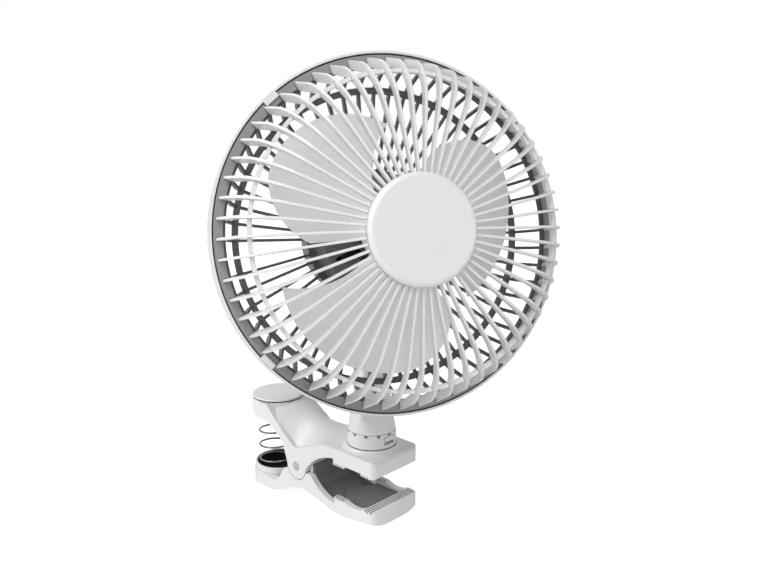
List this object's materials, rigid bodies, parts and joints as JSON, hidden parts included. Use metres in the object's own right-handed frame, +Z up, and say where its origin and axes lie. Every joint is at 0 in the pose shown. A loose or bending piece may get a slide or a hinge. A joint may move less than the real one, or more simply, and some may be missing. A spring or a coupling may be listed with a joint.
{
  "type": "clip fan",
  "caption": "Small caged fan head that tilts and swivels on a short neck, carried by a spring-loaded clip with toothed jaws and a thumb pad.",
  "frame": {"origin": "middle of the flat band at the nose of the upper jaw's gripping face", "axes": "+Z up, away from the gripping face; -Y out of the clip's mouth; +X to the right seen from the levers, along the hinge pin"},
  "size_m": [0.169, 0.2003, 0.2702],
  "materials": {
    "clip_white": "smooth satin moulding",
    "cage_white": "smooth glossy moulding",
    "flange_grey": "satin grey moulding",
    "cage_dark": "satin dark grey moulding",
    "motor_dark": "satin charcoal moulding",
    "blade_grey": "satin light grey moulding",
    "liner_rubber": "matt dark rubber",
    "cup_dark": "matt black moulding",
    "knob_white": "satin moulding",
    "bobbin_white": "matt nylon",
    "pin_steel": "zinc plated",
    "spring_wire": "dark drawn wire",
    "lamination_steel": "laminated edge",
    "winding_copper": "enamelled winding",
    "bearing_bronze": "sintered bronze"
  },
  "bodies": {
    "clip": {"upper_jaw": "clip_white", "thumb_cap": "clip_white", "swivel_detent": "clip_white", "hinge_pin": "pin_steel", "pin_clip": "pin_steel", "jaw_spring": "spring_wire"},
    "lever": {"lower_jaw": "clip_white", "tray_liner": "liner_rubber", "spring_cup": "cup_dark"},
    "stand": {"neck": "clip_white", "swivel_screw": "pin_steel", "swivel_washer": "pin_steel", "tilt_bolt": "pin_steel", "tilt_nut": "pin_steel", "tilt_washers": "cup_dark"},
    "head": {"front_grille": "cage_white", "hub_cap": "cage_white", "front_flange": "flange_grey", "rim_band": "cage_white", "rear_grille": "cage_dark", "motor_front_cover": "motor_dark", "motor_rear_cover": "cage_dark", "cover_screws": "pin_steel", "cord_inlet": "cup_dark", "switch_body": "cup_dark", "stator_core": "lamination_steel", "coil_bobbin": "bobbin_white", "field_coil": "winding_copper", "front_bracket": "pin_steel", "rear_bracket": "pin_steel", "front_bearing": "bearing_bronze", "rear_bearing": "bearing_bronze", "motor_screws": "pin_steel"},
    "spinner": {"motor_shaft": "pin_steel", "rotor": "lamination_steel", "thrust_washers": "bobbin_white", "fan_blade": "blade_grey", "blade_retainer": "pin_steel"},
    "knob": {"switch_knob": "knob_white"}
  },
  "joints": [
    {"name": "jaw_hinge", "type": "hinge", "parent": "clip", "child": "lever", "pos_m": [0, 0.063, -0.0114], "axis": [1, 0, 0], "range_deg": [-17, 25], "stiffness_Nm_per_rad": 0.6, "deforming": ["jaw_spring"]},
    {"name": "head_swivel", "type": "hinge", "parent": "clip", "child": "stand", "pos_m": [0, 0.0174, 0.0213], "axis": [0, 0, 1], "range_deg": [-61.2, 118.8]},
    {"name": "head_tilt", "type": "hinge", "parent": "stand", "child": "head", "pos_m": [0, 0.0174, 0.0893], "axis": [-0.8763, 0.4818, 0], "range_deg": [-27, 45]},
    {"name": "blade_spin", "type": "hinge", "parent": "head", "child": "spinner", "pos_m": [-0.01912, -0.01737, 0.14118], "axis": [-0.4712, -0.8572, 0.2079], "continuous": true},
    {"name": "knob_turn", "type": "hinge", "parent": "head", "child": "knob", "pos_m": [0.01743, 0.0491, 0.13733], "axis": [0.4712, 0.8572, -0.2079], "range_deg": [0, 90]}
  ]
}
